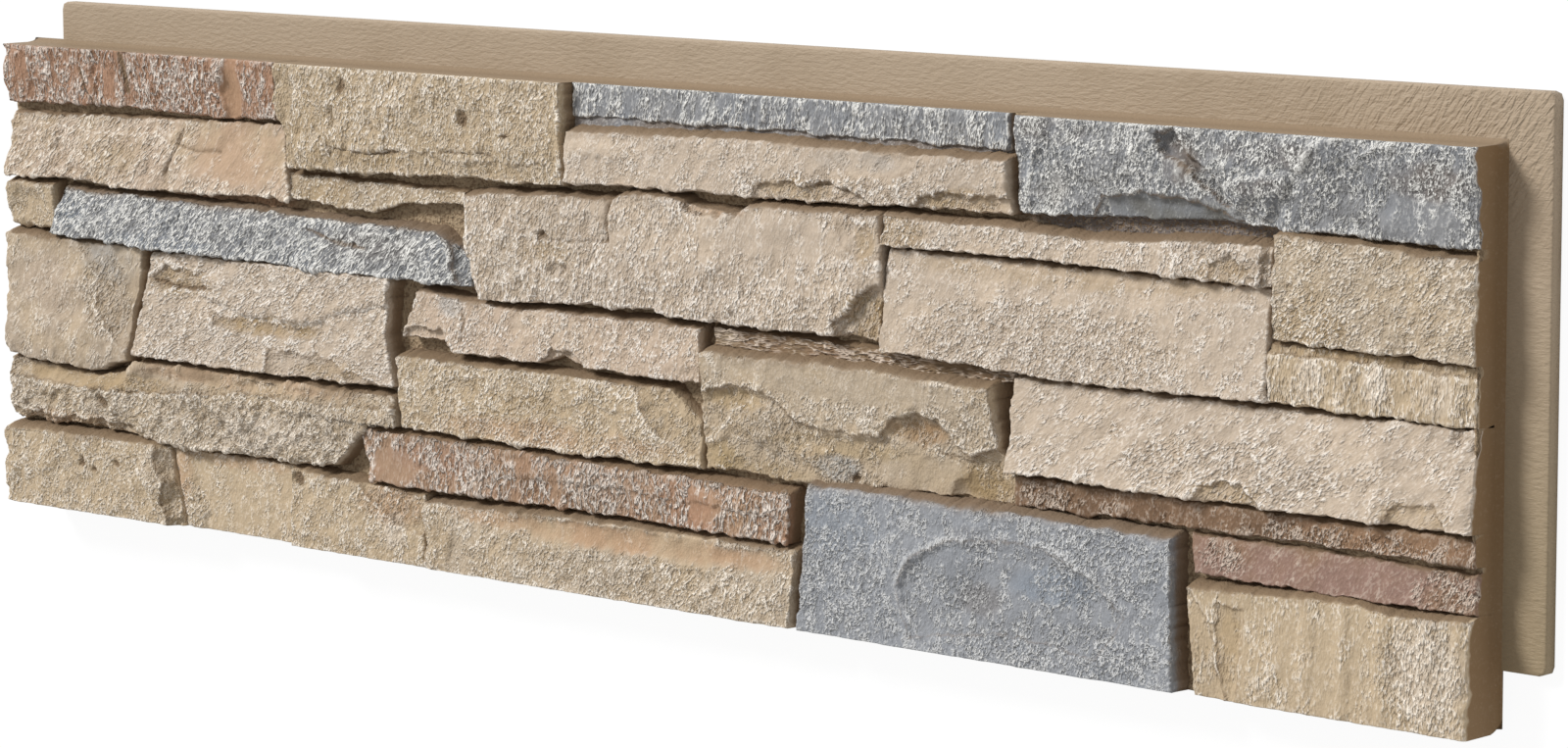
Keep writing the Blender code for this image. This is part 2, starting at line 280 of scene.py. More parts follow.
def rounded_plate():
    """The plate: a patch with arcs at its corners, a front edge that is a quarter circle, whose ring
    at angle a stands out by its sine and drops by one less its cosine, and a back."""
    box = np.array([[PLATE_LEFT, PLATE_BOTTOM], [PLATE_RIGHT, PLATE_TOP]])
    middle, half = box.mean(axis=0), np.ptp(box, axis=0) / 2
    arc = np.radians([45, 30, 15, 0])

    def corner(x, y, turn):
        """An arc round a corner's centre, turned by quarters."""
        angles = np.radians(90 * turn) + np.concatenate([-arc, arc[-2::-1]]) + np.radians(45)
        return [(x + PLATE_CORNER * np.cos(a), y + PLATE_CORNER * np.sin(a)) for a in angles]

    def drawn_in(flat, by):
        """The plate's flat points, nearer its middle by this much at each side."""
        return middle + (flat - middle) * (half - by) / half

    (x0, y0), (x1, y1) = box + [[PLATE_CORNER], [-PLATE_CORNER]]
    ne, nw, sw, se = corner(x1, y1, 0), corner(x0, y1, 1), corner(x0, y0, 2), corner(x1, y0, 3)
    low, high = [*sw[3:], *se[:4]], [*nw[3::-1], *ne[:2:-1]]
    left, right = [*sw[3::-1], *nw[:2:-1]], [*se[3:], *ne[:4]]
    columns = np.linspace(0, 1, round((PLATE_RIGHT - PLATE_LEFT) / PLATE_PITCH) + 1)
    rows = np.linspace(0, 1, round((PLATE_TOP - PLATE_BOTTOM) / PLATE_PITCH) + 1)
    flat = patch(low, high, left, right, columns, rows).reshape(-1, 2)
    outer = flat[rim_of(len(rows), len(columns))]
    rings = [at_height(drawn_in(outer, PLATE_EDGE * (1 - np.sin(a))),
                       PLATE_THICKNESS - PLATE_EDGE * (1 - np.cos(a))) for a in np.radians([30, 60, 90])]
    rings += [at_height(outer, BACK_BEVEL), at_height(drawn_in(outer, BACK_BEVEL), 0.0)]
    front = at_height(drawn_in(flat, PLATE_EDGE), PLATE_THICKNESS)
    return np.concatenate([front, *rings]), *shell_faces(len(rows), len(columns), len(rings))


new_piece("back_plate", *rounded_plate(), leather_skin())

# Joint bed
# The ground of the stone field, which shows in the joints and as the field's four smooth walls. It is
# the same foam, rough and washed with thin brown paint in the joints, with a cove where it meets the
# laps and round back edges on the two overhangs.
FIELD_LENGTH, FIELD_HEIGHT = 1108.0, 286.0
FIELD = np.array([FIELD_LENGTH, FIELD_HEIGHT])
BED_HEIGHT = PLATE_THICKNESS + 13.5
BED_PITCH = 2.4
WALL_MIDDLE, ROUND_START = 18.0, 14.0
OVERHANG_ROUND, LAP_COVE = 6.0, 2.5
END_RISE, END_RISE_LENGTH, END_RISE_FROM = 6, 6, 82
UNDER_SKIN = 0.06
CRUMB_SIZE = 2.2
WASH_AND_SHADOW_BROWN, CRUMB_TAN = (122, 101, 78), (176, 156, 130)
JOINT_BROWN, RECESS_BROWN, COVE_SHADE_GREY = (158, 138, 112), (162, 130, 104), (112, 104, 100)
# TOP_SHADED_TAN is the skin's tan darkened as painted shade on the field's top wall; END_SHADED_BROWN is the
# right end wall's browner tone, darkened partly as painted shade.
END_SHADED_BROWN, TOP_SHADED_TAN = (132, 106, 76), (142, 123, 101)
# COVE_SHADE_GREY greys the bed in the cove under slate_rough and darkens it as painted shade; RECESS_BROWN is
# a redder stain under peach_long.
BED_STAINS_AND_SHADE = (200, 202, 70, 9, RECESS_BROWN), (915, 233, 110, 12, COVE_SHADE_GREY)


def ease(value, low, high):
    """The value's place between low and high, eased from 0 to 1 by 3t^2 - 2t^3."""
    t = np.clip((value - low) / (high - low), 0, 1)
    return t * t * (3 - 2 * t)


def rubble(points, size, octaves, seed=0, fade=0.5):
    """Noise on noise: each octave has lumps half as large and fade times as high as the last."""
    return sum(fade**k * swell(points, np.asarray(size) / 2**k, seed + k) for k in range(octaves))


def in_ellipse(points, cx, cy, half_length, half_width):
    """How far each point is inside an ellipse: 1 in its middle, 0 at its edge and past it."""
    away = (points[:, :2] - (cx, cy)) / (half_length, half_width)
    return np.maximum(0, 1 - np.sum(away**2, axis=1))


def wall_colour(points):
    """The skin's tone at points of the field's walls: tan, with painted shade at the top, and darker and
    browner on the right, partly as painted shade.
    """
    top = points[:, 1:2] > FIELD_HEIGHT - 0.1
    right = points[:, :1] > FIELD_LENGTH - 0.1
    return np.where(top, tone(*TOP_SHADED_TAN), np.where(right, tone(*END_SHADED_BROWN), tone(*SKIN_TAN)))


def bed_paint():
    """Rough foam washed with brown, and the moulding's own skin where the attribute skin says so."""
    material, tree, place = new_paint("joint_wash", 0.85, 0.2)
    ground, skin = read(tree, "ground", "Color"), read(tree, "skin")
    crumb = grain(tree, place, CRUMB_SIZE, 1, 0.6)
    washed = blend(tree, between(tree, crumb, 0.49, 0.36, 0.8), ground, tone(*WASH_AND_SHADOW_BROWN))
    washed = blend(tree, between(tree, crumb, 0.55, 0.68, 0.5), washed, tone(*CRUMB_TAN))
    colour = blend(tree, skin, washed, skin_colour(tree, place, ground))
    return coat(material, colour, crumb, 2.4, math(tree, "MULTIPLY_ADD", skin, -0.85, 1.0))


def joint_bed():
    """A slab with a lumpy, layered top, which rises at the upper right end. Its walls end in a quarter
    circle: inwards on the left and the bottom, where the overhangs' back edges are round, and
    outwards in a cove on the right and the top."""
    columns = np.linspace(0, 1, round(FIELD_LENGTH / BED_PITCH) + 1)
    rows = np.linspace(0, 1, round(FIELD_HEIGHT / BED_PITCH) + 1)
    low, high = [(0, 0), (FIELD_LENGTH, 0)], [(0, FIELD_HEIGHT), (FIELD_LENGTH, FIELD_HEIGHT)]
    flat = patch(low, high, [low[0], high[0]], [low[1], high[1]], columns, rows).reshape(-1, 2)
    top = at_height(np.clip(flat, UNDER_SKIN, FIELD - UNDER_SKIN), BED_HEIGHT)
    top[:, 2] += 0.7 * rubble(top, 12, 3, 8) + 0.9 * rubble(top, [45, 5, 45], 2, 5)
    at_end = ease(top[:, 0], FIELD_LENGTH - END_RISE_LENGTH, FIELD_LENGTH - 1)
    top[:, 2] += END_RISE * at_end * ease(top[:, 1], END_RISE_FROM, END_RISE_FROM + 8)
    rim = top[rim_of(len(rows), len(columns))]
    under, over = rim[:, :2] < 1, rim[:, :2] > FIELD - 1
    rings = [at_height(rim[:, :2], z) for z in (WALL_MIDDLE, ROUND_START)]
    for a in np.radians([15, 30, 45, 60, 75, 90]):
        away = 1 - np.cos(a)
        around = rim[:, :2] + OVERHANG_ROUND * away * under + LAP_COVE * away * over
        rings.append(at_height(around, ROUND_START - OVERHANG_ROUND * np.sin(a)))
    sunk = np.where(over.any(axis=1), PLATE_THICKNESS - 1, PLATE_THICKNESS)
    rings.append(at_height(around + 2 * under + 0.3 * over, sunk))
    points = np.concatenate([top, *rings])
    skin = np.repeat([0.0, 1.0], [len(top), len(points) - len(top)])
    wander = top + 3 * rubble(top, 12, 2, 31)[:, None]
    joints = np.tile(tone(*JOINT_BROWN), (len(top), 1))
    for *ellipse, shade in BED_STAINS_AND_SHADE:
        joints += ease(in_ellipse(wander, *ellipse), 0, 0.6)[:, None] * (tone(*shade) - joints)
    ground = np.concatenate([joints, wall_colour(points[len(top):])])
    return points, *shell_faces(len(rows), len(columns), len(rings)), {"skin": skin, "ground": ground}


points, quads, floor, marks = joint_bed()
new_piece("joint_bed", points, quads, floor, bed_paint(), marks)

# Sand, cream and yellow stones
# Most of the field: split sandstone blocks, moulded in foam after real ones. Their fronts are bowls
# and crests under a plaster-like grain, sprayed beige, dabbed with ochre and brushed white by hand.
FACE_PITCH = 1.1
EDGE_ROWS = np.array([0.35, 0.9, 1.7])
WALL_RINGS = 0.10, 0.30, 0.60, 0.97, 1.0
STONE_FOOT, FLUSH_FOOT = PLATE_THICKNESS + 9.0, PLATE_THICKNESS + 4.5
WALL_DRAFT, SLOPE_DRAFT, SLOPE_REACH = 0.10, 0.36, 2.8
FREE_REACH = 5
INSET_STEP = 0.007
END_WEAR, SIDE_WEAR, WEAR_REACH = 2.4, 0.9, 3.5
UPPER_SHADE, LEFT_SHADE, SHADE_REACH = 0.62, 0.40, 3.2
PEBBLE_SIZE, CLUMP_SIZE, PATCH_SIZE = 1.4, 9.0, 38
CLUMP_SHARE, CREST_SHARE = 0.25, 0.40
SAND, CREAM, STRAW, PEACH = (178, 162, 141), (184, 168, 150), (181, 162, 135), (187, 167, 147)
OCHRE, RUST, PALE, COOL = (164, 140, 104), (176, 144, 114), (218, 205, 190), (158, 159, 158)
LEDGE_TAN, CORNER_TAN, GREY_TAN = (164, 147, 124), (176, 158, 132), (170, 154, 135)
CRAG_PIT, CRAG_LOW, CRAG_SIDE = (152, 122, 90), (156, 134, 98), (158, 136, 98)
CRAG_FOOT, CRAG_SHELF = (160, 136, 98), (166, 144, 106)


def shares(length):
    """Places along a stone from 0 to 1: close rows at both rounded edges and even ones between."""
    ends = EDGE_ROWS[-1]
    steps = max(2, round((length - 2 * ends) / FACE_PITCH))
    inner = np.linspace(ends, length - ends, steps + 1)
    return np.concatenate([[0], EDGE_ROWS[:-1], inner, length - EDGE_ROWS[-2::-1], [length]]) / length


def near(points, path):
    """How far each point is from a path of straight runs."""
    path = np.array(path, float)
    best = np.full(len(points), np.inf)
    for start, end in zip(path, path[1:]):
        run, gap = end - start, points - start
        share = np.clip(gap @ run / (run @ run), 0, 1)
        best = np.minimum(best, np.linalg.norm(gap - share[:, None] * run, axis=1))
    return best


def inside_of(points, outline):
    """How far each point is inside a closed outline, below 0 where it is outside: the distance to
    the outline, with its sign from how many of its sides lie straight to the right of the point."""
    outline = np.array([*outline, outline[0]], float)
    crossed = np.zeros(len(points), bool)
    for start, end in zip(outline, outline[1:]):
        level = (points[:, 1] - start[1]) / (end[1] - start[1] or 1e-9)
        spans = (points[:, 1] < start[1]) != (points[:, 1] < end[1])
        crossed ^= spans & (points[:, 0] < start[0] + level * (end[0] - start[0]))
    return np.where(crossed, 1, -1) * near(points, outline)


def turned(points, lay):
    """The points in axes of which the first lies at the lay's angle and is shortened by its stretch,
    so that noise on them is drawn out along it."""
    angle, stretch = lay
    c, s = np.cos(np.radians(angle)), np.sin(np.radians(angle))
    x, y, z = points.T
    return np.column_stack([(c * x + s * y) / stretch, c * y - s * x, z])


def bowls(points, size, seed):
    """Bowls that meet in crests, from about -1 to 1: 2.4 times the least squared distance to centres
    that are scattered one to a cell, each of them raised or sunk a little, less 0.35."""
    place = points[:, :2] / size
    cell = np.floor(place).astype(np.int64)
    least = np.full(len(place), 9.0)
    for step in np.ndindex(3, 3):
        at = cell + step - 1
        spread = SLOPES[cell_number(at, seed)]
        gap = place - at - 0.5 - 0.45 * spread[:, :2]
        least = np.minimum(least, np.sum(gap**2, axis=1) + 0.22 * spread[:, 2])
    return 2.4 * least - 0.35


def plaster(drawn, seed):
    """The grain of split sandstone, about -1 to 1: bowls of two sizes with lumps on them."""
    bent = drawn + 1.6 * rubble(drawn, 9, 2, seed + 3)[:, None]
    return (0.36 * bowls(bent, 11, seed) + 0.34 * bowls(bent, 5.2, seed + 1)
            + 0.42 * rubble(drawn, 5.5, 3, seed + 5, 0.7))


def facet(carve):
    """Broad breaks of the stone, about -1 to 1: lumps, and wide bowls whose crests are bent."""
    bent = carve + 5 * rubble(carve, 16, 2, 67)[:, None]
    return 0.7 * rubble(carve, 34, 3, 61) + 0.5 * bowls(bent, 24, 71)


def stone(
    name, paint, ground, low, high, rise, left=(), right=(), lay=(65, 1.4), grain_depth=1.1, facets=1.8,
    coarse=0.5, arris=0.9, bulges=(), dishes=(), chips=(), cracks=(), rough=(), tints=()
):
    """One stone of the field, from its four edges down into the bed.

    low and high are its lower and upper edges, left to right; left and right hold points of its ends
    between them. rise is the height of its corners above the plate, from the lower left one round.
    lay is the angle and the stretch of its grain, grain_depth and facets are how deep the grain and
    the broad breaks are, coarse is how rough the grain looks, and arris the radius of the edges.
    dishes, bulges, tints and rough are ellipses: centre, half length, half width, and then the depth,
    the height, the amount and the colour, or how much coarser the grain is. chips are an outline, how
    far inside it the face comes to its full drop, and that drop. cracks are a path, width and depth.
    A drop or a depth below 0 stands out instead.
    """
    seed = sum(ord(letter) * (i + 1) for i, letter in enumerate(name)) % 9973
    left, right = [low[0], *left, high[0]], [low[-1], *right, high[-1]]
    length = np.ptp(np.array([*low, *high], float)[:, 0])
    width = np.ptp(np.array([*left, *right], float)[:, 1])
    across, up = shares(length), shares(width)
    flat = patch(low, high, left, right, across, up)
    rows, columns = flat.shape[:2]
    flat = flat.reshape(-1, 2)
    s, t = (a.ravel() for a in np.meshgrid(across, up))

    # The edges are ragged, except where they lie on the field's own walls
    free = ease(np.minimum(flat, FIELD - flat), 0, FREE_REACH)
    level = at_height(flat, 7.0 + seed)
    ragged = [0.7 * swell(level, 22, k) + 0.8 * rubble(level, 8, 3, k + 2, 0.7) for k in (21, 31)]
    flat = flat + free * np.stack(ragged, axis=1)
    level[:, :2] = flat

    # The face: corner heights, hollows, chips and cracks
    ll, lr, ur, ul = rise
    height = (1 - t) * ((1 - s) * ll + s * lr) + t * ((1 - s) * ul + s * ur)
    wander = flat + 1.5 * np.stack([rubble(level, 9, 3, k, 0.75) for k in (41, 47)], axis=1)
    hollow, dark, crest = (np.zeros(len(flat)) for _ in range(3))
    grainy = np.full(len(flat), float(coarse))
    colour = np.tile(tone(*ground), (len(flat), 1))

    for *ellipse, depth in dishes:
        inside = in_ellipse(wander, *ellipse)
        height -= depth * inside**0.7
        hollow = np.maximum(hollow, ease(inside, 0, 0.4) * min(1, depth / 4))
        if max(ellipse[2:]) < 7:
            dark = np.maximum(dark, 0.8 * ease(inside, 0.1, 0.7))
    for *ellipse, amount in bulges:
        height += amount * ease(in_ellipse(wander, *ellipse), 0, 1)
    for *ellipse, amount in rough:
        grainy += amount * ease(in_ellipse(wander, *ellipse), 0, 0.7)
    for *ellipse, amount, shade in tints:
        share = amount * ease(in_ellipse(wander, *ellipse), 0, 0.8)[:, None]
        colour += share * (tone(*shade) - colour)
    for outline, slope, drop in chips:
        within = inside_of(wander, outline)
        down = np.clip(within / slope, 0, 1)
        height -= drop * down * (2 - down)
        crest += 0.30 * np.exp(-((within + 0.8 * np.sign(drop)) ** 2)) * min(1, abs(drop) / 2)
        hollow = np.maximum(hollow, np.clip(drop / 3, 0, 0.7) * np.clip(within, 0, 1))
        # Each sunk chip gets a dark line just inside its edge: painted shadow under its rim.
        dark = np.maximum(dark, np.clip(drop / 4, 0, 0.6) * np.exp(-((within / 0.9 - 0.9) ** 2)))
    for path, gap, depth in cracks:
        groove = np.exp(-((near(flat + 0.4 * (wander - flat), path) / gap) ** 2))
        height -= depth * groove
        dark = np.maximum(dark, groove * min(1, max(0, depth / 1.5)))
        crest -= 0.3 * groove * min(0, depth)

    # The edges: rounded and chipped, with painted shadow and brown wash along the upper and left ones, worn
    # on the walls
    shore = [s * length, (1 - s) * length, t * width, (1 - t) * width]
    planes = [(0, 0), (0, FIELD_LENGTH), (1, 0), (1, FIELD_HEIGHT)]
    chipped = 0.5 + 0.8 * np.abs(swell(level, 13, 51)) + 1.4 * ease(swell(level, 23, 53), 0.25, 0.6)
    shadow_and_wash = np.clip(0.7 + 0.6 * swell(level, 26, 59), 0, 1.3)
    worn = np.clip(0.4 + 1.3 * rubble(level, 13, 3, 57, 0.6), 0, 2)
    lean, radius = np.zeros(len(flat)), arris * chipped
    for far, edge, (axis, plane) in zip(shore, [left, right, low, high], planes):
        flush = all(abs(point[axis] - plane) < 0.01 for point in edge)
        upper = edge is high and not flush
        lean += np.clip(1 - far / np.where(flush, 0.6, radius * (1 + 0.5 * upper)), 0, 1) ** 2
        # Along the upper and left edges the face darkens: painted shadow of the neighbouring stone, mixed
        # with brown wash.
        shade = UPPER_SHADE if upper else LEFT_SHADE if edge is left and not flush else 0
        dark = np.maximum(dark, shade * shadow_and_wash * np.exp(-far / SHADE_REACH))
        height -= flush * (END_WEAR if axis == 0 else SIDE_WEAR) * worn * np.exp(-far / WEAR_REACH)
        crest += 0.22 * np.exp(-((far / 1.1 - 0.8) ** 2))
    height -= radius * (1 - np.sqrt(1 - np.minimum(lean, 1)))
    face = np.column_stack([flat, PLATE_THICKNESS + height])

    # The walls: rings that follow the border down. They flare a little, and those that face up the
    # panel lean out as slopes
    rim = rim_of(rows, columns)
    edge = face[rim]
    run = np.roll(edge, -1, axis=0) - np.roll(edge, 1, axis=0)
    outward = unit(np.column_stack([run[:, 1], -run[:, 0]]))
    uphill = np.maximum(0, outward[:, 1])
    foot = np.where(free[rim].min(axis=1) < 0.01, FLUSH_FOOT, STONE_FOOT)
    rings = []
    for share in WALL_RINGS:
        drop = share * (edge[:, 2] - foot)
        flare = WALL_DRAFT * drop + np.minimum(SLOPE_REACH, SLOPE_DRAFT * drop) * uphill
        around = edge[:, :2] + free[rim] * outward * flare[:, None]
        rings.append(np.column_stack([around, edge[:, 2] - drop]))
    points = np.concatenate([face, *rings])
    quads, floor = shell_faces(rows, columns, len(rings))

    # The relief: broad facets and the grain, along the normals. On the field's walls each stone is
    # set in by an amount of its own, so that no two of them lie in one plane
    normal = facing(points, quads)
    carve = points + (0, 0, 3.1 * (seed % 97))
    drawn = turned(carve, lay)
    fine = plaster(drawn, seed % 50 + 80)
    walls = len(points) - len(face)
    on_wall = np.repeat([0.0, 1.0], [len(face), walls])
    grainy = np.pad(grainy * (1 - 0.2 * hollow), (0, walls), constant_values=-0.1)
    out = (facets * facet(carve) + grain_depth * (0.5 + grainy) * fine) * (1 - 0.8 * on_wall)
    loose = ease(np.minimum(points[:, :2], FIELD - points[:, :2]), 0, 2.5)
    points[:, :2] += loose * normal[:, :2] * out[:, None]
    points[:, 2] += normal[:, 2] * out
    inset = INSET_STEP * (seed % 8)
    points[:, :2] = np.clip(points[:, :2], inset, FIELD - inset)
    points[-len(rim):, 2] = foot

    # What the paint reads: brown lies on the slopes and in all the walls' lower rings
    flush = np.any((points[:, :2] < UNDER_SKIN) | (points[:, :2] > FIELD - UNDER_SKIN), axis=1)
    slope = uphill * (free[rim].min(axis=1) > 0.5)
    brown = [0.75 * slope, np.maximum(0.65, 0.9 * slope), np.ones((len(WALL_RINGS) - 2) * len(rim))]
    wall_tone = np.where(flush[-walls:, None], wall_colour(points[-walls:]), tone(*ground))
    new_piece(name, points, quads, floor, paint, {
        "crest": 0.5 + np.pad(crest - 0.4 * hollow, (0, walls)) + 0.26 * fine,
        "coarse": grainy, "dark": np.concatenate([dark, *brown]), "drawn": drawn,
        "skin": (flush & (on_wall > 0)).astype(float), "ground": np.concatenate([colour, wall_tone]),
    })


def stone_paint(name, patches, brushed, hollow, brush, wash, worm=5.5, net=0.12, depth=3.3):
    """Sprayed ground, dabbed patches, brown wash in what lies low and dry-brushed crests.

    The grain is pebbles in clumps, depth millimetres high. On it lie short ridges, worm millimetres
    apart and net times as high, where one noise crosses its middle and the clumps and the attribute
    coarse let it. What the attribute crest and the grain raise takes the pale brush, and what they
    sink takes the wash. The attribute drawn holds the grain's coordinates, along the lay.
    """
    material, tree, place = new_paint(name, 0.82, 0.22)
    crest, coarse, dark, skin = (read(tree, mark) for mark in ("crest", "coarse", "dark", "skin"))
    drawn, ground = read(tree, "drawn", "Vector"), read(tree, "ground", "Color")

    pebble = grain(tree, drawn, PEBBLE_SIZE, 1, 0.55, 0.2)
    clump = grain(tree, drawn, CLUMP_SIZE, 3, 0.6, 0.5)
    vein = math(tree, "ABSOLUTE", math(tree, "SUBTRACT", grain(tree, drawn, worm, 2, 0.5, 0.2), 0.5))
    allow = math(tree, "MULTIPLY_ADD", coarse, 0.20, clump)
    ridge = math(tree, "MULTIPLY", between(tree, vein, 0.09, 0.0), between(tree, allow, 0.52, 0.66))
    height = math(tree, "MULTIPLY_ADD", ridge, net, pebble)
    rough = math(tree, "MULTIPLY_ADD", coarse, 0.45, clump)
    rough = math(tree, "MULTIPLY_ADD", between(tree, rough, 0.50, 0.84), 0.78, 0.22)

    cloud = between(tree, grain(tree, place, PATCH_SIZE, 4, 0.6), 0.40, 0.72, 0.8)
    colour = blend(tree, cloud, ground, tone(*patches))
    lit = math(tree, "MULTIPLY_ADD", crest, CREST_SHARE, -(CLUMP_SHARE + CREST_SHARE) / 2)
    lit = math(tree, "ADD", pebble, math(tree, "MULTIPLY_ADD", clump, CLUMP_SHARE, lit))
    pits = math(tree, "MULTIPLY", between(tree, lit, 0.48, 0.34, wash), rough)
    colour = blend(tree, pits, colour, tone(*hollow))
    tips = math(tree, "MULTIPLY", between(tree, lit, 0.54, 0.68, brush), rough)
    tips = math(tree, "MAXIMUM", tips, math(tree, "MULTIPLY", ridge, 2.6 * net * brush))
    colour = blend(tree, tips, colour, tone(*brushed))
    # The attribute dark lays brown wash in pits, cracks and the walls' lower rings, and painted shadow inside
    # sunk chips' edges and along upper and left edges.
    colour = blend(tree, between(tree, dark, 0.05, 0.9, 0.92), colour, tone(*WASH_AND_SHADOW_BROWN))
    colour = blend(tree, skin, colour, skin_colour(tree, place, ground))
    strength = math(tree, "MULTIPLY", math(tree, "MULTIPLY_ADD", skin, -0.9, 1.0), rough)
    return coat(material, colour, height, depth, strength)


sand = stone_paint("sand", patches=(186, 166, 138), brushed=(238, 227, 212), hollow=(150, 129, 101),
                   brush=0.9, wash=0.5)
chalk = stone_paint("chalk", patches=(195, 177, 156), brushed=(240, 231, 220), hollow=(156, 137, 114),
                    brush=0.85, wash=0.5, worm=6.0, depth=3.0)

stone("yellow_block", sand, STRAW, [(265, 225), (380, 228), (493, 229)], [(254, 286), (493, 286)],
    (25.4, 26, 27, 27), left=[(262, 236), (252, 264)], lay=(75, 1.6), facets=2.2, coarse=0.7,
    dishes=[(305, 255, 4, 8, 2.4), (415, 262, 5, 6, 2.8), (450, 253, 4, 3, 2), (337, 253, 9, 4, 2),
      (313, 275, 4, 5, 2)],
    chips=[([(250, 290), (267, 290), (271, 270), (268, 244), (276, 222), (250, 222)], 10, 2.2),
      ([(296, 232), (300, 238), (339, 239), (382, 242), (400, 236), (482, 241), (484, 229),
        (296, 226)], 1.6, 1.2)],
    cracks=[([(300, 240), (339, 238), (362, 240)], 1, 1.2), ([(395, 242), (440, 243)], 1, 1)],
    tints=[(300, 250, 40, 30, 0.3, OCHRE), (330, 236, 40, 6, 0.5, OCHRE)])
stone("pink_bar", chalk, CREAM, [(497, 231), (640, 232), (700, 233), (819, 235)],
    [(497, 259), (640, 262), (690, 261), (818, 261)], (27, 25, 27, 26), lay=(60, 1.4), facets=1.4, coarse=0.3,
    chips=[([(636, 228), (641, 239), (656, 242), (679, 241), (697, 244), (708, 240), (726, 235),
        (700, 226)], 3, 2.6),
      ([(745, 226), (752, 236), (762, 241), (775, 243), (794, 242), (810, 244), (826, 240),
        (824, 226)], 3, 3),
      ([(686, 268), (690, 260), (706, 250), (724, 240), (740, 246), (790, 268)], 14, 1.6),
      ([(500, 244), (530, 246), (560, 243), (560, 254), (520, 256), (500, 254)], 4, -1)],
    cracks=[([(681, 241), (697, 242), (718, 237)], 1.2, 1.2)], rough=[(720, 238, 100, 12, 0.5)],
    tints=[(672, 238, 36, 7, 0.7, OCHRE), (788, 239, 36, 7, 0.8, OCHRE), (715, 256, 34, 8, 0.4, COOL)])
stone("peach_long", sand, PEACH, [(0, 205), (60, 206), (120, 203), (262, 206)],
    [(0, 243), (60, 244), (150, 247), (255, 248)], (25.6, 22.7, 18.4, 18.4), lay=(50, 2.2),
    bulges=[(130, 226, 9, 24, 1.6), (90, 226, 12, 26, 1.2), (40, 228, 14, 20, 1.5)],
    dishes=[(215, 232, 50, 20, 1.6)],
    chips=[([(0, 240), (120, 236), (165, 242), (150, 214), (140, 200), (0, 200)], 3, -1.2)],
    cracks=[([(164, 240), (160, 231), (151, 215)], 1.8, 1.1),
      ([(160, 232), (178, 229), (198, 230)], 1.3, 0.9)],
    rough=[(60, 226, 100, 34, 0.5), (218, 230, 55, 26, -0.5)], tints=[(218, 230, 60, 26, 0.6, RUST)])
stone("peach_ledge", sand, LEDGE_TAN, [(256, 207), (335, 203), (360, 211), (410, 212)],
    [(256, 221), (408, 219)], (21.6, 21, 19, 18.4), facets=1.4, tints=[(290, 212, 30, 10, 0.5, OCHRE)])
stone("corner_block", sand, CORNER_TAN, [(0, 174), (46, 173)], [(0, 201), (46, 201)], (20, 23, 26, 27),
    facets=1.6, coarse=0.4, arris=2, dishes=[(24, 188, 18, 10, 1.5)])
stone("cream_block", chalk, CREAM, [(428, 160), (520, 165), (560, 165), (575, 162), (726, 162)], [(414, 217),
    (440, 221), (528, 223), (545, 227), (580, 227), (596, 222), (626, 222), (636, 227), (730, 227)],
    (27, 26, 27, 26), left=[(420, 185)], right=[(731, 192)], lay=(72, 1.7),
    dishes=[(530, 219, 3, 6, 3), (478, 200, 5, 3, 2.4), (491, 181, 9, 4, 2)],
    chips=[([(696, 156), (697, 170), (707, 176), (716, 186), (730, 192), (740, 192), (738, 156)], 5, 5.5),
      ([(583, 232), (586, 222), (600, 219), (628, 220), (638, 232)], 2, 5),
      ([(440, 201), (497, 199), (529, 201), (531, 226), (440, 226)], 3, 1.2),
      ([(700, 223), (704, 212), (716, 203), (726, 206), (738, 200), (738, 224)], 6, 1.5)],
    cracks=[([(529, 201), (529, 212), (533, 226)], 1.5, 2.2),
      ([(478, 199), (500, 198), (528, 201)], 1.1, 0.8)],
    rough=[(465, 190, 70, 40, 0.5), (600, 172, 120, 16, 0.4), (650, 212, 70, 14, -0.4),
      (716, 172, 20, 20, 0.9)],
    tints=[(455, 195, 60, 40, 0.5, SAND), (720, 172, 22, 18, 0.9, OCHRE), (610, 224, 30, 5, 0.8, RUST),
      (722, 212, 9, 16, 0.6, OCHRE), (485, 190, 30, 8, 0.5, OCHRE)])
stone("cream_lath", chalk, CREAM, [(733, 213), (860, 213), (986, 209)],
    [(733, 228), (820, 227), (868, 225), (905, 226), (940, 229), (986, 229)], (27, 26, 25, 26), facets=0.6,
    chips=[([(946, 206), (950, 219), (962, 225), (978, 214), (982, 206)], 3, 1.8),
      ([(978, 206), (980, 216), (982, 232), (992, 232), (992, 206)], 3, 3.5)],
    rough=[(745, 220, 20, 10, 0.8), (960, 218, 30, 12, 0.4)],
    tints=[(745, 220, 22, 12, 0.6, OCHRE), (958, 216, 22, 8, 0.6, OCHRE)])
stone("cream_slab", chalk, CREAM, [(731, 157), (850, 152), (985, 153)], [(735, 211), (984, 208)],
    (27, 26.2, 21, 22), lay=(60, 1.3), facets=0.9, coarse=0.25,
    chips=[([(735, 214), (860, 204), (990, 198), (990, 214)], 8, 1.2)], rough=[(840, 168, 110, 26, 0.6)],
    tints=[(860, 205, 130, 8, 0.45, OCHRE)])
stone("yellow_end", sand, SAND, [(988, 184), (1108, 182)], [(991, 236), (1040, 234), (1108, 230)],
    (25, 23, 22, 26), lay=(50, 1.4), facets=1,
    chips=[([(1090, 186), (1092, 204), (1088, 222), (1096, 226), (1112, 226), (1112, 186)], 2.5, -1.3)],
    rough=[(1008, 195, 34, 18, 0.6)], tints=[(1008, 192, 34, 16, 0.6, OCHRE)])
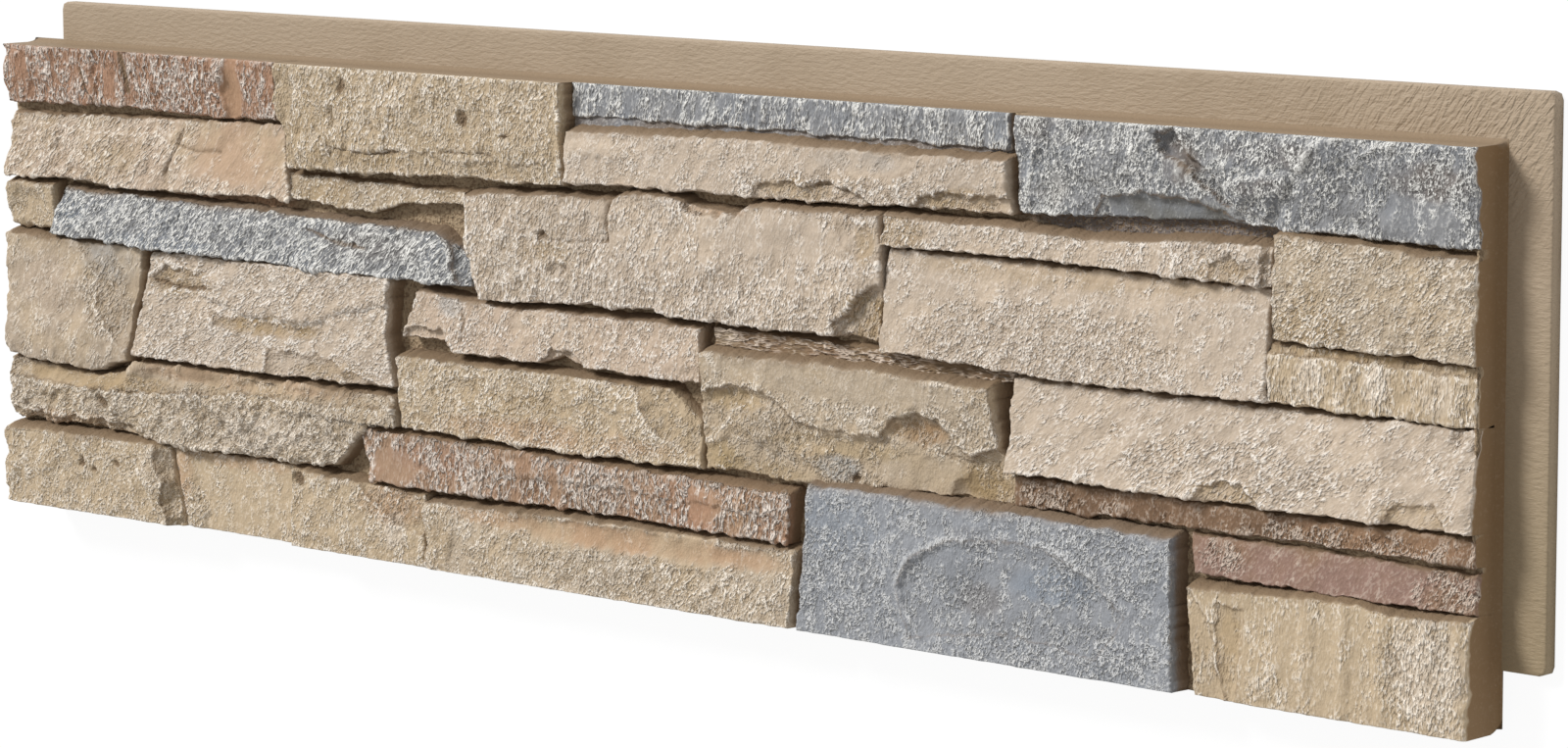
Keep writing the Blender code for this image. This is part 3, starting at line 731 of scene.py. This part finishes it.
stone("fluted_end", sand, STRAW, [(986, 153), (1108, 151)], [(986, 182), (1108, 180)], (25, 20, 20.5, 24),
    lay=(86, 2.2), facets=1,
    bulges=[(1010, 165, 7, 20, 1), (1034, 165, 6, 20, 1), (1052, 165, 6, 20, 1), (1078, 165, 8, 20, 1.2),
      (1098, 165, 6, 20, 1)],
    chips=[([(984, 188), (984, 178), (1050, 176.5), (1112, 175), (1112, 188)], 1.6, 2.6)],
    tints=[(1010, 166, 12, 14, 0.6, PALE), (1050, 166, 10, 14, 0.5, PALE), (1085, 166, 12, 14, 0.4, PALE),
      (1046, 181, 70, 4, 0.8, OCHRE)])
stone("tan_corner", sand, GREY_TAN, [(0, 94), (50, 91), (85, 89), (114, 98)], [(0, 168), (127, 167)],
    (27, 24, 24, 26), right=[(117, 125), (126, 150)], lay=(58, 1.8), coarse=0.2,
    bulges=[(60, 104, 75, 22, 4)],
    chips=[([(64, 172), (72, 162), (89, 146), (84, 128), (104, 108), (130, 96), (130, 172)], 7, 2)],
    rough=[(95, 135, 26, 30, 0.7)], tints=[(100, 158, 34, 16, 0.6, COOL), (45, 140, 40, 20, 0.3, PEACH)])
stone("cream_split", chalk, CREAM, [(121, 102), (240, 101), (354, 103)], [(138, 166), (352, 166)],
    (27, 26, 24, 22), left=[(127, 125)], right=[(346, 134)], lay=(35, 1.6), facets=1.4,
    chips=[([(173, 149), (188, 142), (204, 139), (228, 133), (263, 132), (291, 134), (306, 142), (354, 150),
        (356, 174), (215, 174), (200, 158), (182, 156)], 4, -2.6),
      ([(190, 136), (230, 131), (290, 131), (300, 126), (250, 122), (200, 124)], 6, 1.6),
      ([(246, 117), (294, 116), (312, 110), (338, 104), (360, 102), (360, 96), (240, 96)], 8, 2.2),
      ([(134, 150), (146, 144), (190, 147), (186, 156), (150, 160)], 3, 1.8)],
    cracks=[([(140, 149), (165, 146), (190, 148)], 1.3, 1.4)],
    rough=[(165, 152, 34, 14, 0.6), (180, 118, 60, 18, 0.5), (262, 158, 40, 10, 0.4)],
    tints=[(165, 150, 34, 12, 0.8, OCHRE), (245, 129, 56, 7, 0.9, OCHRE), (300, 108, 40, 7, 0.5, OCHRE)])
stone("peach_bar", chalk, PEACH,
    [(363, 133), (396, 134), (402, 128), (474, 128), (490, 133), (508, 128), (598, 128)],
    [(372, 160), (440, 156.5), (598, 157)], (26, 25, 24, 24),
    chips=[([(360, 128), (364, 139), (396, 140), (404, 128)], 3, 3),
      ([(472, 126), (482, 136), (500, 137), (510, 126)], 3, 3)],
    cracks=[([(410, 134), (413, 144), (411, 153)], 1.6, 1)], tints=[(402, 155, 14, 8, 0.6, COOL)])
stone("yellow_bar", sand, STRAW, [(360, 80), (480, 79), (598, 80)], [(357, 121), (574, 121)],
    (25, 25, 23, 26), right=[(597, 105)], lay=(60, 1.4), facets=2.2, coarse=0.6,
    dishes=[(470, 102, 24, 8, 1.6), (410, 108, 20, 6, 1.4)],
    chips=[([(545, 125), (552, 112), (560, 98), (575, 92), (604, 86), (604, 125)], 12, 2.2),
      ([(500, 124), (520, 106), (545, 104), (560, 110), (552, 118), (530, 116), (515, 124)], 3, -1.6)],
    tints=[(480, 87, 120, 9, 0.7, RUST), (450, 100, 60, 12, 0.3, OCHRE)])
stone("crag", sand, SAND, [(600, 81), (660, 80), (720, 83), (822, 83)], [(601, 145), (700, 146), (810, 143)],
    (24, 20, 32, 28), right=[(820, 102), (812, 112)], facets=1.2,
    dishes=[(756, 117, 20, 9, 3.4), (624, 121, 22, 6, 1.6), (708, 86, 5, 4, 3)],
    chips=[([(594, 121), (605, 124), (618, 129), (647, 128), (656, 125), (672, 112), (700, 112), (730, 112),
        (737, 120), (746, 125), (772, 125), (790, 107), (812, 112), (828, 108), (828, 76), (594, 76)], 6, 3),
      ([(767, 107), (791, 105), (806, 112), (828, 112), (828, 76), (770, 78), (778, 92), (790, 98)], 12, 3),
      ([(601, 96), (612, 101), (623, 115), (638, 122), (652, 124), (668, 113), (672, 104), (700, 98),
        (672, 90), (640, 95), (622, 101), (606, 92)], 9, -3)],
    cracks=[([(601, 96), (612, 101), (623, 115), (638, 122)], 1.6, -1.2),
      ([(676, 107), (728, 111)], 1.6, -1)],
    rough=[(695, 91, 22, 9, 0.9), (700, 137, 110, 11, -0.5), (760, 92, 44, 12, -0.7),
      (650, 108, 44, 12, 0.4)],
    tints=[(756, 116, 26, 9, 0.9, CRAG_PIT), (624, 121, 26, 7, 0.9, CRAG_LOW),
      (612, 88, 20, 12, 0.9, CRAG_SIDE), (697, 91, 20, 8, 0.9, COOL), (800, 92, 24, 14, 0.9, CRAG_FOOT),
      (700, 102, 60, 7, 0.6, CRAG_SHELF), (650, 84, 34, 6, 0.6, CRAG_LOW)])
stone("cream_long", chalk, CREAM, [(818, 101), (960, 100), (1108, 100)], [(820, 150), (1108, 149)],
    (27, 26, 19, 21.6), lay=(40, 1.8), coarse=0.3, dishes=[(1097, 145, 4, 7, 3)],
    chips=[([(936, 96), (945, 108), (970, 112), (988, 96)], 4, 2.5),
      ([(1052, 96), (1062, 109), (1085, 112), (1098, 96)], 4, 2.5)],
    cracks=[([(968, 136), (976, 127), (982, 119), (992, 107)], 1.2, -1.3),
      ([(984, 136), (986, 129)], 1.1, -1)], rough=[(960, 116, 80, 18, 0.6)],
    tints=[(962, 105, 26, 8, 0.8, OCHRE), (1075, 105, 24, 8, 0.8, OCHRE)])
stone("tan_rough", sand, SAND, [(0, 55), (120, 53), (165, 50), (250, 50), (302, 52)],
    [(0, 91), (50, 88), (85, 86), (112, 90), (126, 97), (354, 96)], (24, 25, 27, 27),
    right=[(322, 72), (330, 80), (354, 80)], lay=(50, 1.3), facets=3, coarse=0.8, grain_depth=1.6, arris=1.4,
    dishes=[(90, 70, 6, 5, 2), (190, 70, 7, 4, 2), (40, 68, 8, 5, 2), (230, 62, 8, 4, 1.6)],
    chips=[([(-6, 96), (140, 100), (360, 100), (360, 91), (300, 86), (230, 87), (180, 82), (110, 78),
        (60, 77), (-6, 80)], 12, 4),
      ([(262, 66), (272, 72), (286, 70), (298, 62), (306, 50), (262, 48)], 4, -1.6),
      ([(-4, 60), (40, 58), (90, 59), (130, 56), (130, 48), (-4, 48)], 5, 2.5)],
    rough=[(60, 84, 60, 8, -0.7), (150, 92, 60, 8, -0.6), (240, 94, 100, 6, -0.5), (240, 64, 70, 14, 0.5)],
    tints=[(80, 84, 90, 8, 0.8, OCHRE), (220, 94, 120, 7, 0.6, RUST), (60, 57, 60, 6, 0.6, RUST),
      (240, 66, 50, 14, 0.4, PALE)])
stone("foot_corner", sand, STRAW, [(0, 0), (160, 0)], [(0, 47), (148, 48)], (30, 27, 27, 31),
    right=[(154, 24)], facets=2.2, dishes=[(73, 32, 4, 4, 2.4), (83, 28, 3, 3, 2), (105, 34, 4, 3, 2)],
    chips=[([(128, 52), (126, 30), (136, 12), (150, -6), (168, -6), (160, 52)], 9, -1.6),
      ([(142, 54), (141, 38), (146, 26), (145, 14), (151, 4), (150, -6), (176, -6), (172, 54)], 11, 8.5)],
    rough=[(150, 14, 14, 20, 0.6), (140, 34, 14, 14, 0.3)], tints=[(140, 34, 16, 16, 0.4, PALE)])
stone("foot_recess", sand, STRAW, [(154, 0), (266, 0)], [(146, 47), (266, 47)], (18, 19, 18, 17), facets=0.6,
    coarse=0.2,
    chips=[([(148, 50), (154, 26), (160, 8), (164, -4), (178, -4), (182, 12), (172, 30),
        (166, 50)], 9, -3.2)], rough=[(166, 12, 14, 20, 0.8)],
    tints=[(158, 28, 12, 24, 0.7, RUST), (210, 44, 56, 5, 0.5, RUST)])
stone("foot_stained", sand, STRAW, [(263, 0), (377, 0)], [(265, 46), (377, 41)], (26, 25, 25, 26), facets=2,
    dishes=[(270, 42, 5, 6, 2.5)],
    chips=[([(318, 50), (326, 38), (344, 30), (356, 22), (380, 18), (380, 50)], 5, 2.2)],
    rough=[(352, 34, 30, 14, 0.7)], tints=[(350, 34, 34, 14, 0.8, RUST), (352, 18, 12, 12, 0.5, PALE)])
stone("foot_long", sand, SAND, [(379, 0), (664, 0)], [(379, 38), (480, 41), (669, 42)], (27, 27, 24.3, 26),
    facets=1.6, bulges=[(386, 20, 5, 30, 1), (398, 20, 4, 30, 1)], dishes=[(555, 33, 120, 9, 2.4)],
    rough=[(555, 34, 130, 9, -0.7), (560, 14, 120, 14, 0.4)],
    tints=[(545, 34, 150, 9, 0.9, RUST), (390, 20, 14, 24, 0.4, OCHRE), (440, 36, 50, 6, 0.6, RUST)])
stone("foot_fluted", sand, STRAW, [(940, 0), (1108, 0)], [(936, 55), (1040, 58), (1062, 55), (1108, 57)],
    (26, 27, 25, 26.7), lay=(86, 2), facets=0.8, coarse=0.3, grain_depth=0.8,
    bulges=[(1012, 30, 6, 40, 1.2), (1034, 30, 6, 40, 1.2), (1058, 30, 7, 40, 1.8), (1086, 30, 8, 40, 1.8),
      (1102, 30, 5, 40, 1.2)],
    chips=[([(926, 62), (940, 54), (950, 42), (954, 34), (954, 20), (961, 4), (958, -6), (926, -6)], 5, 2.4),
      ([(955, 50), (974, 48), (972, 24), (968, -4), (961, -4), (956, 22)], 5, 2.2)],
    rough=[(1082, 30, 28, 34, 0.6), (1020, 30, 36, 28, -0.2)],
    tints=[(1084, 30, 28, 30, 0.5, PALE), (964, 28, 8, 26, 0.6, OCHRE)])

# Slate stones
# Five blue-grey stones: slate blocks and strips, moulded with the rest and sprayed grey over blue,
# with sparse crests that the dry brush catches white, and brown where the wash ran. The large block
# has a finer grain.
SLATE_GREY, SLATE_BROWN, BLOCK_GREY = (136, 136, 137), (112, 98, 86), (143, 145, 149)
LIP_BROWN, LEDGE_SHADOW_GREY, PALE_GREY = (124, 114, 106), (106, 104, 97), (206, 200, 190)
DEEP_BLUE, SLATE_BLUE, BLOCK_BLUE = (112, 122, 134), (126, 138, 152), (128, 138, 150)
slate = stone_paint("slate", patches=(127, 130, 135), brushed=(238, 236, 230), hollow=(104, 102, 99),
                    brush=0.9, wash=0.55, worm=3.6, net=0.34)
fine_slate = stone_paint("fine_slate", patches=(136, 139, 144), brushed=(230, 229, 226),
                         hollow=(110, 108, 105), brush=0.62, wash=0.4, worm=3.4, net=0.4, depth=2.8)

stone("slate_strip", slate, SLATE_GREY, [(494, 268), (650, 268), (813, 267)], [(494, 286), (813, 286)],
    (16.7, 17.3, 18, 17.3), lay=(80, 2.2))
stone("slate_lip", slate, LIP_BROWN, [(494, 257), (813, 259)], [(494, 270), (813, 269)],
    (16.2, 16.2, 14.6, 14.6), facets=0.4, coarse=-0.5)
stone("slate_rough", slate, SLATE_GREY, [(824, 236), (880, 237), (940, 240), (1108, 237)],
    [(824, 286), (1108, 286)], (23, 20, 27, 27), lay=(80, 1.5), facets=2, coarse=0.6, grain_depth=1,
    bulges=[(975, 262, 26, 15, 3.2), (872, 266, 36, 14, 2.4), (1010, 276, 30, 10, 1.6)],
    dishes=[(1038, 258, 24, 20, 2.6), (846, 262, 9, 26, 2)],
    chips=[([(910, 284), (918, 272), (932, 264), (949, 253), (958, 246), (964, 249), (951, 262), (938, 273),
        (926, 286)], 4.5, 5.5),
      ([(868, 232), (880, 248), (900, 251), (922, 252), (942, 250), (959, 243), (984, 238),
        (980, 232)], 6, 3.4),
      ([(958, 257), (966, 263), (987, 267), (1005, 267), (997, 255), (986, 241), (962, 244)], 5, -3.6)],
    cracks=[([(843, 280), (834, 262), (831, 240)], 2, -1.6),
      ([(1007, 270), (1014, 281), (1031, 286)], 2, -1.6), ([(1036, 273), (1050, 282), (1062, 285)], 2, -1.6),
      ([(914, 283), (944, 256)], 1.4, -1), ([(900, 286), (904, 262), (899, 250)], 2.4, -1),
      ([(965, 262), (988, 266)], 1.6, -0.8)],
    rough=[(922, 243, 52, 10, -1.2), (930, 268, 14, 12, -0.6), (1075, 250, 30, 14, -0.6)],
    tints=[(930, 270, 16, 16, 0.8, SLATE_BROWN), (980, 259, 24, 7, 0.6, SLATE_BROWN),
      # LEDGE_SHADOW_GREY is painted shadow on the sunk ledge along slate_rough's lower edge.
      (925, 243, 50, 10, 0.8, LEDGE_SHADOW_GREY), (1082, 268, 30, 12, 0.6, SLATE_BROWN),
      (850, 280, 26, 9, 0.5, SLATE_BROWN), (846, 250, 14, 14, 0.6, PALE_GREY),
      (985, 276, 40, 8, 0.4, SLATE_BROWN)])
stone("slate_proud", slate, SLATE_GREY, [(44, 171), (119, 169), (250, 167), (418, 166)],
    [(54, 199), (200, 197), (390, 195)], (28, 27, 23, 22.7), right=[(418, 180)], lay=(48, 2.4), coarse=0.9,
    chips=[([(384, 200), (393, 195), (402, 186), (404, 174), (410, 164), (424, 164), (424, 200)], 5, 4)],
    cracks=[([(386, 197), (394, 192), (401, 184), (402, 176)], 1.4, -1.6),
      ([(310, 181), (330, 190), (360, 192)], 1.6, -1.2), ([(280, 190), (305, 184), (330, 182)], 1.2, 1)],
    tints=[(62, 184, 22, 12, 0.5, DEEP_BLUE), (340, 184, 60, 10, 0.3, SLATE_BROWN),
      (150, 172, 60, 6, 0.4, SLATE_BLUE)])
stone("slate_block", fine_slate, BLOCK_GREY, [(672, 0), (928, 0)], [(680, 80), (927, 78)], (27, 27, 27, 26.5),
    lay=(75, 1.3), facets=1.6, coarse=0.4, grain_depth=0.6,
    chips=[([(752, 6), (744, 20), (743, 34), (753, 50), (776, 62), (830, 66), (860, 62), (884, 48), (900, 34),
        (880, 10), (820, 16), (790, 12)], 9, 1.6)],
    cracks=[([(759, 8), (747, 23), (744, 33), (752, 48), (776, 61), (790, 62)], 2.2, -1.4),
      ([(840, 66), (861, 62), (875, 55), (884, 45)], 1.8, -1.2), ([(891, 46), (903, 36)], 2, -1)],
    rough=[(880, 60, 50, 26, 0.3), (700, 30, 40, 30, 0.3), (850, 14, 80, 16, 0.3), (790, 36, 26, 12, 0.3)],
    tints=[(800, 64, 24, 8, 0.4, SLATE_BROWN), (800, 32, 20, 12, 0.3, SLATE_BROWN),
      (700, 60, 40, 20, 0.3, BLOCK_BLUE), (850, 45, 36, 12, 0.5, SLATE_BLUE)])

# Brown stones
# Thin reddish-brown layers between the courses, moulded with the rest, sprayed brown, and streaked
# and flecked by a nearly dry brush.
UMBER, LAYER_BROWN, BAND_BROWN = (158, 124, 101), (130, 110, 86), (142, 115, 103)
RED_BROWN, RED_SHADE, RUBBED_PALE = (160, 132, 108), (150, 118, 100), (214, 200, 184)
LATH_BROWN, LATH_LIGHT, LATH_DARK = (114, 90, 70), (158, 124, 96), (108, 84, 66)
umber = stone_paint("umber", patches=(168, 130, 105), brushed=(236, 224, 212), hollow=(116, 86, 64),
                    brush=0.6, wash=0.7, worm=4.2, net=0.6)
earth = stone_paint("earth", patches=(138, 110, 86), brushed=(220, 204, 188), hollow=(90, 70, 52),
                    brush=0.8, wash=0.7, worm=4.0, net=0.3)

stone("brown_rough", umber, UMBER, [(0, 250), (100, 253), (190, 250), (250, 252)], [(0, 286), (251, 286)],
    (21.6, 21, 23, 25), lay=(85, 2), facets=2, coarse=0.6, grain_depth=1, dishes=[(212, 268, 9, 24, 3)],
    chips=[([(84, 290), (82, 272), (86, 254), (100, 250), (112, 262), (108, 290)], 5, 1.6)],
    cracks=[([(73, 273), (78, 262), (84, 254)], 1.6, 2), ([(110, 285), (116, 262)], 1.6, 2),
      ([(203, 284), (202, 268), (205, 252)], 1.4, -1.4), ([(232, 280), (236, 268), (240, 262)], 1.6, -1.2)],
    rough=[(212, 268, 11, 26, -1.4), (165, 268, 50, 20, 0.3)], tints=[(212, 268, 12, 26, 0.6, RUST)])
stone("brown_layer", earth, LAYER_BROWN, [(605, 148), (818, 147)], [(605, 158), (700, 157), (820, 153)],
    (20, 20, 19, 20), lay=(0, 3.5), facets=1, coarse=0.6, tints=[(615, 154, 12, 5, 0.6, SAND)])
stone("red_strip", umber, RED_BROWN, [(332, 46), (480, 47), (662, 46)], [(322, 76), (500, 74), (665, 73)],
    (24, 25, 25, 24), left=[(330, 60)], lay=(84, 2), coarse=0.6,
    chips=[([(440, 61), (470, 61), (500, 63), (668, 60), (668, 40), (440, 40)], 2, 1.2)],
    rough=[(350, 56, 24, 14, -0.8), (515, 58, 28, 18, 0.6), (425, 56, 16, 10, 0.6), (645, 60, 18, 16, 0.5),
      (600, 60, 14, 14, -0.6), (570, 58, 8, 16, 0.4)],
    tints=[(520, 60, 30, 16, 0.3, RUBBED_PALE), (425, 56, 16, 8, 0.3, RUBBED_PALE),
      (600, 60, 16, 14, 0.5, RUST), (628, 60, 12, 14, 0.6, RUST), (380, 64, 40, 10, 0.4, RED_SHADE)])
stone("brown_lath", earth, LATH_BROWN, [(820, 84), (1108, 84)], [(820, 98), (1108, 97)], (19, 20, 21, 20),
    lay=(70, 1.6), coarse=0.1, rough=[(845, 91, 24, 9, 0.7), (1030, 88, 70, 8, 0.5)],
    tints=[(1050, 91, 70, 10, 0.6, LATH_LIGHT), (1000, 95, 24, 4, 0.6, LATH_DARK)])
stone("brown_band", earth, BAND_BROWN, [(938, 62), (1108, 60)], [(934, 81), (1108, 79)], (20.5, 20.5, 17, 18),
    lay=(60, 1.6), facets=1.2, coarse=-0.1, rough=[(1090, 70, 26, 14, 0.7), (955, 72, 20, 10, 0.6)])

# Studio
# A white table, a soft key light from the upper left of the hung panel, and the photograph's camera.
TABLE_HALF, TABLE_DROP = 30.0, 0.0002
TABLE_WHITE, TABLE_GLOW, TABLE_SEEN = 0.9, 1.03, 0.9
SKY_STRENGTH = 0.53
KEY_TOWARDS, KEY_STRENGTH, KEY_SOFTNESS = (-0.50, 0.60, 0.66), 3.0, 16
CAMERA_PLACE = (1.92307, 0.34688, 1.99862)
CAMERA_TURN = (
    (0.73244578, -0.0883177, 0.67507271),
    (-0.00453987, 0.99089485, 0.13456145),
    (-0.68081023, -0.10162371, 0.72537581),
)
CAMERA_LENS, SENSOR_WIDTH = 116.11, 36.0


def white_table():
    """A white table that keeps the panel's shadow, and that the camera sees at full white."""
    material, tree, _ = new_paint("white_table", 0.9, 0.0)
    shader = tree.nodes["Principled BSDF"]
    shader.inputs["Base Color"].default_value = (TABLE_WHITE, TABLE_WHITE, TABLE_WHITE, 1.0)
    glow = node(tree, "Emission", {"Color": (1, 1, 1, 1), "Strength": TABLE_GLOW})
    seen = math(tree, "MULTIPLY", node(tree, "LightPath").outputs["Is Camera Ray"], TABLE_SEEN)
    mix = node(tree, "MixShader", {0: seen, 1: shader.outputs[0], 2: glow.outputs[0]})
    tree.links.new(mix.outputs[0], tree.nodes["Material Output"].inputs["Surface"])
    return material


mesh = bpy.data.meshes.new("table")
corners = [(-1, -1), (1, -1), (1, 1), (-1, 1)]
mesh.from_pydata([(TABLE_HALF * x, TABLE_HALF * y, -TABLE_DROP) for x, y in corners], [], [(0, 1, 2, 3)])
mesh.materials.append(white_table())
put("table", mesh)

world = bpy.data.worlds.new("studio")
bpy.context.scene.world = world
world.use_nodes = True
tree = world.node_tree
seen = node(tree, "LightPath").outputs["Is Camera Ray"]
level = node(tree, "MapRange", {0: seen, 3: SKY_STRENGTH, 4: 1.0}).outputs[0]
tree.links.new(level, tree.nodes["Background"].inputs["Strength"])
tree.nodes["Background"].inputs["Color"].default_value = (1, 1, 1, 1)

key = bpy.data.lights.new("key", "SUN")
key.energy = KEY_STRENGTH
key.angle = np.radians(KEY_SOFTNESS)
put("key", key).rotation_euler = Vector(KEY_TOWARDS).to_track_quat("Z", "Y").to_euler()

camera = put("camera", bpy.data.cameras.new("camera"))
camera.data.lens = CAMERA_LENS
camera.data.sensor_width = SENSOR_WIDTH
camera.matrix_world = Matrix.Translation(CAMERA_PLACE) @ Matrix(CAMERA_TURN).to_4x4()
bpy.context.scene.camera = camera
bpy.context.scene.view_settings.view_transform = "Standard"
